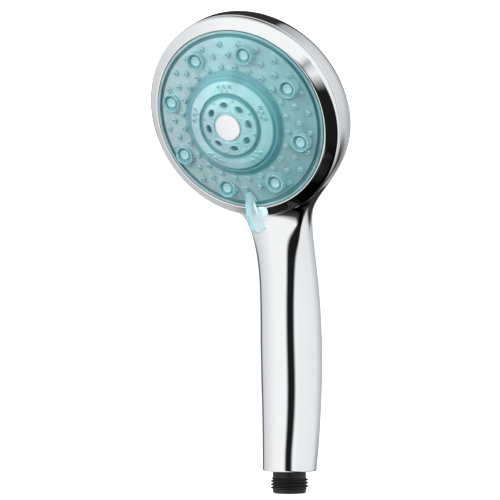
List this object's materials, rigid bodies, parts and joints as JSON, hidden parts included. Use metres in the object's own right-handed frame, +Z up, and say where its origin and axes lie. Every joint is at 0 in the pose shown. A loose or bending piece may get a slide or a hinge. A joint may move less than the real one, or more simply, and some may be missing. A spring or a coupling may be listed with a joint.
{
  "type": "handheld shower head",
  "caption": "Chromed hand shower with a clear aqua spray face that turns by a finger lever to change the spray, and a threaded hose connector.",
  "frame": {"origin": "on the axis of the hose thread, at the lower end face of the threaded connector", "axes": "+Z up along the handle, the spray face looks towards -Y and 20.5 degrees down, X across the face"},
  "size_m": [0.1144, 0.0991, 0.2642],
  "materials": {
    "chrome": "mirror-bright chrome plate on moulded plastic",
    "aqua_plastic": "polished translucent aqua moulding",
    "clear_aqua_plastic": "polished clear moulding with a light aqua tint",
    "black_plastic": "moulded black engineering plastic, slight sheen",
    "white_plastic": "moulded off-white plastic",
    "grey_plastic": "moulded grey plastic",
    "black_rubber": "soft black sealing rubber",
    "steel": "plain stainless steel"
  },
  "bodies": {
    "body": {"body_shell": "chrome", "bezel_ring": "chrome", "threaded_connector": "black_plastic", "water_tube": "white_plastic", "diverter_base": "white_plastic", "filter_screen": "white_plastic", "flow_restrictor": "grey_plastic", "connector_o_ring": "black_rubber", "base_seal": "black_rubber", "port_seal": "black_rubber", "port_spring": "steel", "detent_spring": "steel", "centre_screw": "steel", "retaining_washer": "steel", "base_screw_1": "steel", "base_screw_2": "steel", "base_screw_3": "steel", "base_screw_4": "steel"},
    "spray_selector": {"spray_face": "aqua_plastic", "channel_plate": "grey_plastic", "centre_cap": "chrome", "selector_lever": "clear_aqua_plastic", "aerator_disc_1": "clear_aqua_plastic", "aerator_disc_2": "clear_aqua_plastic", "aerator_disc_3": "clear_aqua_plastic", "aerator_disc_4": "clear_aqua_plastic", "aerator_disc_5": "clear_aqua_plastic", "aerator_disc_6": "clear_aqua_plastic", "aerator_disc_7": "clear_aqua_plastic", "aerator_disc_8": "clear_aqua_plastic"},
    "turbine": {"massage_turbine": "white_plastic"},
    "click_pin": {"detent_plunger": "grey_plastic"}
  },
  "joints": [
    {"name": "selector_turn", "type": "hinge", "parent": "body", "child": "spray_selector", "pos_m": [0, -0.0586, 0.2062], "axis": [0, -0.9367, -0.3502], "range_deg": [-60, 60]},
    {"name": "turbine_spin", "type": "hinge", "parent": "spray_selector", "child": "turbine", "pos_m": [0, -0.0586, 0.2062], "axis": [0, -0.9367, -0.3502], "continuous": true},
    {"name": "detent_travel", "type": "slide", "parent": "body", "child": "click_pin", "axis": [0, -0.9367, -0.3502], "range_m": [0, 0.0008], "stiffness_N_per_m": 600, "springref_m": 0.002}
  ]
}
